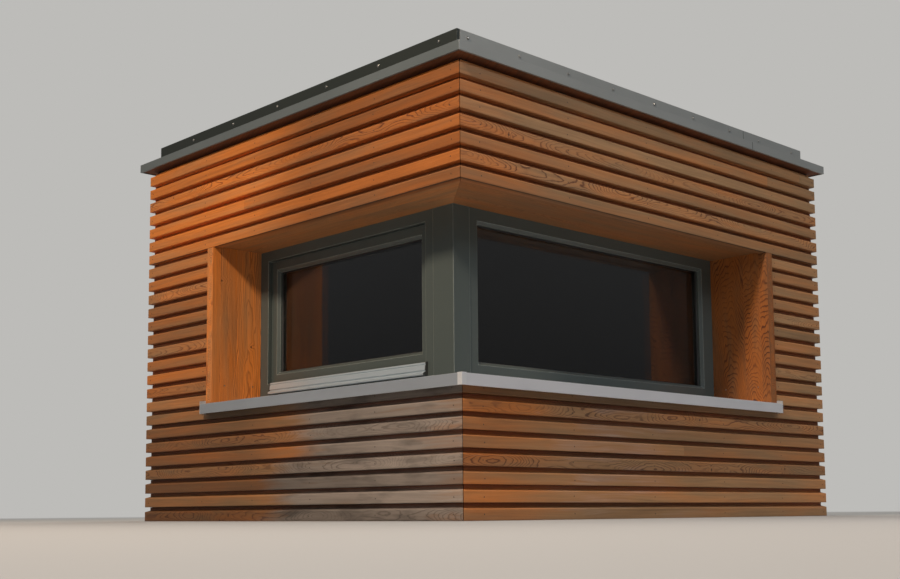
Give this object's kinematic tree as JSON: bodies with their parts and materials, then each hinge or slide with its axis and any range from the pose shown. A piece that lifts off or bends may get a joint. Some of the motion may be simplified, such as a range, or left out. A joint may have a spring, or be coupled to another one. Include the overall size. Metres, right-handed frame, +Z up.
{
  "type": "corner bay window",
  "caption": "Shallow corner bay window wrapped round a house corner: slatted larch cladding, sloped metal flashing and sill, an opening sash and a fixed pane meeting at a corner post.",
  "frame": {"origin": "middle of the bounding box on the ground, under the L-shaped plan", "axes": "+Z up; the left wing faces -Y and runs along X, the right wing faces +X and runs along Y, and their cladding meets at the (+X, -Y) corner"},
  "size_m": [2.071, 2.336, 1.698],
  "materials": {
    "larch": "oiled larch, planed",
    "softwood": "sawn softwood",
    "wall_panel": "stranded board on a timber frame",
    "lining": "painted gypsum board",
    "membrane": "black facade membrane",
    "frame_paint": "painted timber, grey green satin",
    "glass": "clear insulating glass",
    "sill_aluminium": "anodised aluminium",
    "rail_aluminium": "natural aluminium",
    "flashing_sheet": "grey folded sheet metal",
    "mesh_metal": "perforated black sheet",
    "inner_board": "white lacquered board",
    "cap_plastic": "grey plastic end cap"
  },
  "bodies": {
    "root": {"battens_left": "softwood", "battens_right": "softwood", "corner_cover": "frame_paint", "corner_post": "frame_paint", "drip_rail": "rail_aluminium", "facade_membrane": "membrane", "flashing_left": "flashing_sheet", "flashing_right": "flashing_sheet", "glass_left": "glass", "glass_right": "glass", "glazing_bead_left": "frame_paint", "glazing_bead_right": "frame_paint", "head_board_left": "larch", "head_board_right": "larch", "inner_board_left": "inner_board", "inner_board_right": "inner_board", "inner_lining_left": "lining", "inner_lining_right": "lining", "lintel_left": "wall_panel", "lintel_right": "wall_panel", "parapet_left": "wall_panel", "parapet_right": "wall_panel", "pier_left": "wall_panel", "pier_right": "wall_panel", "reveal_board_left": "larch", "reveal_board_right": "larch", "roof_deck_left": "softwood", "roof_deck_right": "softwood", "sash_handle": "rail_aluminium", "sash_left": "frame_paint", "sill_bed_left": "softwood", "sill_bed_right": "softwood", "sill_corner_cap": "sill_aluminium", "sill_end_caps": "cap_plastic", "sill_left": "sill_aluminium", "sill_right": "sill_aluminium", "slats_lower_left": "larch", "slats_lower_right": "larch", "slats_side_left": "larch", "slats_side_right": "larch", "slats_upper_left": "larch", "slats_upper_right": "larch", "vent_strip": "mesh_metal", "window_frame_left": "frame_paint", "window_frame_right": "frame_paint"}
  },
  "joints": []
}
